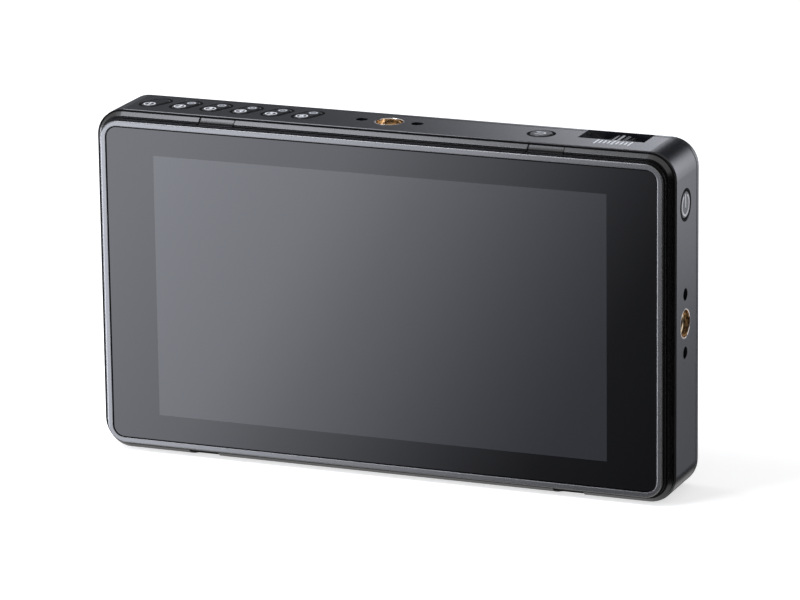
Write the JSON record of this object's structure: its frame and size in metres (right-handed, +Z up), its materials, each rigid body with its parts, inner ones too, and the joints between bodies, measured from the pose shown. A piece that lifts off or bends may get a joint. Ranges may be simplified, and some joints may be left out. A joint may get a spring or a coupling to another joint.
{
  "type": "camera field monitor",
  "caption": "Thin on-camera screen with a stepped bezel, slanted top keys, a thumb dial, brass threaded mounts, side sockets and a slide-in battery bay.",
  "frame": {"origin": "under the middle of the monitor, on the plane it stands on", "axes": "+X to the right of the screen, +Y from the screen to the back, +Z up"},
  "size_m": [0.1554, 0.023, 0.0899],
  "materials": {
    "housing_plastic": "fine satin texture",
    "bezel_coating": "satin dark coating",
    "cover_glass": "polished, black behind",
    "adhesive": "matt",
    "panel": "gloss",
    "diffuser": "matt white",
    "sheet_steel": "plain sheet",
    "screw_steel": "black oxide",
    "brass": "turned",
    "contact_gold": "plated",
    "circuit_board": "solder mask",
    "chip": "moulded",
    "thermal_pad": "soft",
    "spreader": "mill",
    "flex_film": "film",
    "connector_plastic": "moulded",
    "key_rubber": "satin, softer than the housing",
    "switch_metal": "plain",
    "dial_plastic": "satin to gloss ribs",
    "shaft_steel": "ground",
    "carriage_plastic": "moulded",
    "socket_steel": "plated shell",
    "bay_plastic": "matt",
    "spring_steel": "wire"
  },
  "bodies": {
    "monitor": {"backlight_unit": "diffuser", "battery_contact_block": "connector_plastic", "battery_contacts": "contact_gold", "battery_plate": "bay_plastic", "board_chips": "chip", "board_screws": "screw_steel", "board_standoffs": "brass", "bottom_mount_insert": "brass", "case_screws": "screw_steel", "cover_glass": "cover_glass", "dial_board": "circuit_board", "dial_switch": "switch_metal", "display_connector": "connector_plastic", "display_flex": "flex_film", "front_bezel": "bezel_coating", "function_key_board": "circuit_board", "function_key_switches": "switch_metal", "glass_tape": "adhesive", "hdmi_input_socket": "socket_steel", "hdmi_output_socket": "socket_steel", "headphone_jack": "connector_plastic", "heat_spreader": "spreader", "input_key_board": "circuit_board", "input_key_switch": "switch_metal", "latch_guide": "carriage_plastic", "latch_spring": "spring_steel", "lcd_panel": "panel", "main_board": "circuit_board", "main_housing": "housing_plastic", "panel_tray": "sheet_steel", "plate_screws": "screw_steel", "power_jack": "connector_plastic", "power_key_board": "circuit_board", "power_key_switch": "switch_metal", "shield_can": "sheet_steel", "side_mount_insert": "brass", "socket_tongues": "connector_plastic", "thermal_pads": "thermal_pad", "top_mount_insert": "brass", "tray_screws": "screw_steel", "usb_c_socket": "socket_steel"},
    "function_key_1": {"function_key_1": "key_rubber"},
    "function_key_2": {"function_key_2": "key_rubber"},
    "function_key_3": {"function_key_3": "key_rubber"},
    "function_key_4": {"function_key_4": "key_rubber"},
    "function_key_5": {"function_key_5": "key_rubber"},
    "function_key_6": {"function_key_6": "key_rubber"},
    "input_key": {"input_key": "key_rubber"},
    "power_key": {"power_key": "key_rubber"},
    "dial_carriage": {"dial_carriage": "carriage_plastic", "dial_axle": "shaft_steel", "dial_encoder": "connector_plastic"},
    "menu_dial": {"menu_dial": "dial_plastic"},
    "battery_latch": {"battery_latch": "key_rubber"}
  },
  "joints": [
    {"name": "function_key_1_press", "type": "slide", "parent": "monitor", "child": "function_key_1", "axis": [0, 0, -1], "range_m": [0, 0.0005], "stiffness_N_per_m": 800},
    {"name": "function_key_2_press", "type": "slide", "parent": "monitor", "child": "function_key_2", "axis": [0, 0, -1], "range_m": [0, 0.0005], "stiffness_N_per_m": 800},
    {"name": "function_key_3_press", "type": "slide", "parent": "monitor", "child": "function_key_3", "axis": [0, 0, -1], "range_m": [0, 0.0005], "stiffness_N_per_m": 800},
    {"name": "function_key_4_press", "type": "slide", "parent": "monitor", "child": "function_key_4", "axis": [0, 0, -1], "range_m": [0, 0.0005], "stiffness_N_per_m": 800},
    {"name": "function_key_5_press", "type": "slide", "parent": "monitor", "child": "function_key_5", "axis": [0, 0, -1], "range_m": [0, 0.0005], "stiffness_N_per_m": 800},
    {"name": "function_key_6_press", "type": "slide", "parent": "monitor", "child": "function_key_6", "axis": [0, 0, -1], "range_m": [0, 0.0005], "stiffness_N_per_m": 800},
    {"name": "input_key_press", "type": "slide", "parent": "monitor", "child": "input_key", "axis": [0, 0, -1], "range_m": [0, 0.0005], "stiffness_N_per_m": 800},
    {"name": "power_key_press", "type": "slide", "parent": "monitor", "child": "power_key", "axis": [-1, 0, 0], "range_m": [0, 0.0005], "stiffness_N_per_m": 800},
    {"name": "menu_dial_press", "type": "slide", "parent": "monitor", "child": "dial_carriage", "axis": [0, 0, -1], "range_m": [0, 0.0005], "stiffness_N_per_m": 1200},
    {"name": "menu_dial_turn", "type": "hinge", "parent": "dial_carriage", "child": "menu_dial", "pos_m": [0.0592, 0.00415, 0.0809], "axis": [0, 1, 0], "continuous": true},
    {"name": "battery_latch_press", "type": "slide", "parent": "monitor", "child": "battery_latch", "axis": [0, -1, 0], "range_m": [0, 0.0018], "stiffness_N_per_m": 600}
  ]
}
